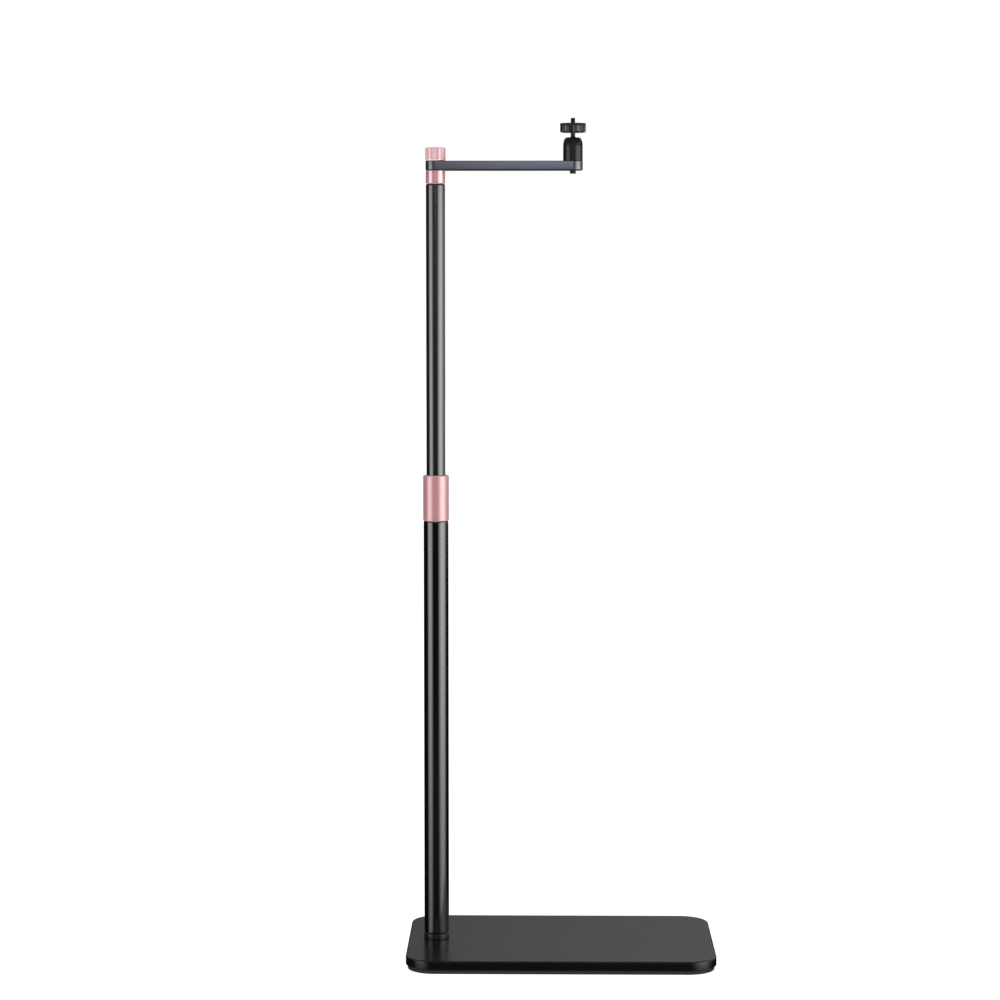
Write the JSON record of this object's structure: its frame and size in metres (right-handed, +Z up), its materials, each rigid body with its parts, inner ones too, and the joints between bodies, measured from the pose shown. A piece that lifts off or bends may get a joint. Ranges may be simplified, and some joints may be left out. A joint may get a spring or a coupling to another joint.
{
  "type": "projector floor stand",
  "caption": "Telescopic floor stand with a weighted plate, a twist-lock column and a swinging arm that ends in a small ball head with a threaded stud.",
  "frame": {"origin": "on the floor, under the middle of the base plate", "axes": "+Z up along the column, +X along the plate from the column's end to the free end, +Y to the back"},
  "size_m": [0.4012, 0.262, 1.0947],
  "materials": {
    "black_coated_steel": "black powder coat, satin to gloss",
    "black_rubber": "matt",
    "zinc_steel": "plated",
    "black_plastic": "moulded",
    "rose_gold_aluminium": "rose-gold anodised",
    "grey_aluminium": "dark grey anodised",
    "black_screw": "black oxide",
    "black_aluminium": "black anodised"
  },
  "bodies": {
    "base": {"base_pad": "black_rubber", "base_plate": "black_coated_steel", "foot_bolt": "zinc_steel", "foot_boss": "black_coated_steel", "lower_tube": "black_coated_steel", "guide_bush": "black_plastic"},
    "collar": {"lock_collar": "rose_gold_aluminium"},
    "mast": {"upper_tube": "black_coated_steel", "tube_glide": "black_plastic", "mast_head": "rose_gold_aluminium", "pivot_stud": "zinc_steel"},
    "arm": {"arm_bar": "grey_aluminium", "head_screw": "black_screw", "head_core": "black_aluminium"},
    "knob": {"clamp_knob": "rose_gold_aluminium"},
    "sleeve": {"lock_sleeve": "black_aluminium"},
    "seat": {"ball_seat": "black_plastic"},
    "ball": {"ball": "black_aluminium"},
    "stem": {"ball_stem": "black_screw"},
    "wheel": {"lock_wheel": "black_aluminium", "wheel_pad": "black_rubber"}
  },
  "joints": [
    {"name": "mast_slide", "type": "slide", "parent": "base", "child": "mast", "axis": [0, 0, 1], "range_m": [-0.37, 0]},
    {"name": "collar_turn", "type": "hinge", "parent": "base", "child": "collar", "pos_m": [-0.16385, 0, 0], "axis": [0, 0, 1], "range_deg": [0, 120]},
    {"name": "arm_swing", "type": "hinge", "parent": "mast", "child": "arm", "pos_m": [-0.16385, 0, 0], "axis": [0, 0, 1], "continuous": true},
    {"name": "knob_turn", "type": "hinge", "parent": "mast", "child": "knob", "pos_m": [-0.16385, 0, 0], "axis": [0, 0, 1], "range_deg": [0, 180]},
    {"name": "sleeve_turn", "type": "hinge", "parent": "arm", "child": "sleeve", "pos_m": [0.01425, 0, 1.0646], "axis": [0, 0, 1], "range_deg": [0, 120]},
    {"name": "ball_pan", "type": "hinge", "parent": "arm", "child": "seat", "pos_m": [0.01425, 0, 1.0646], "axis": [0, 0, 1], "continuous": true},
    {"name": "ball_tilt", "type": "hinge", "parent": "seat", "child": "ball", "pos_m": [0.01425, 0, 1.0646], "axis": [1, 0, 0], "range_deg": [-25, 25]},
    {"name": "stem_spin", "type": "hinge", "parent": "ball", "child": "stem", "pos_m": [0.01425, 0, 1.0646], "axis": [0, 0, 1], "continuous": true},
    {"name": "wheel_turn", "type": "hinge", "parent": "stem", "child": "wheel", "pos_m": [0.01425, 0, 1.0646], "axis": [0, 0, 1], "continuous": true}
  ]
}
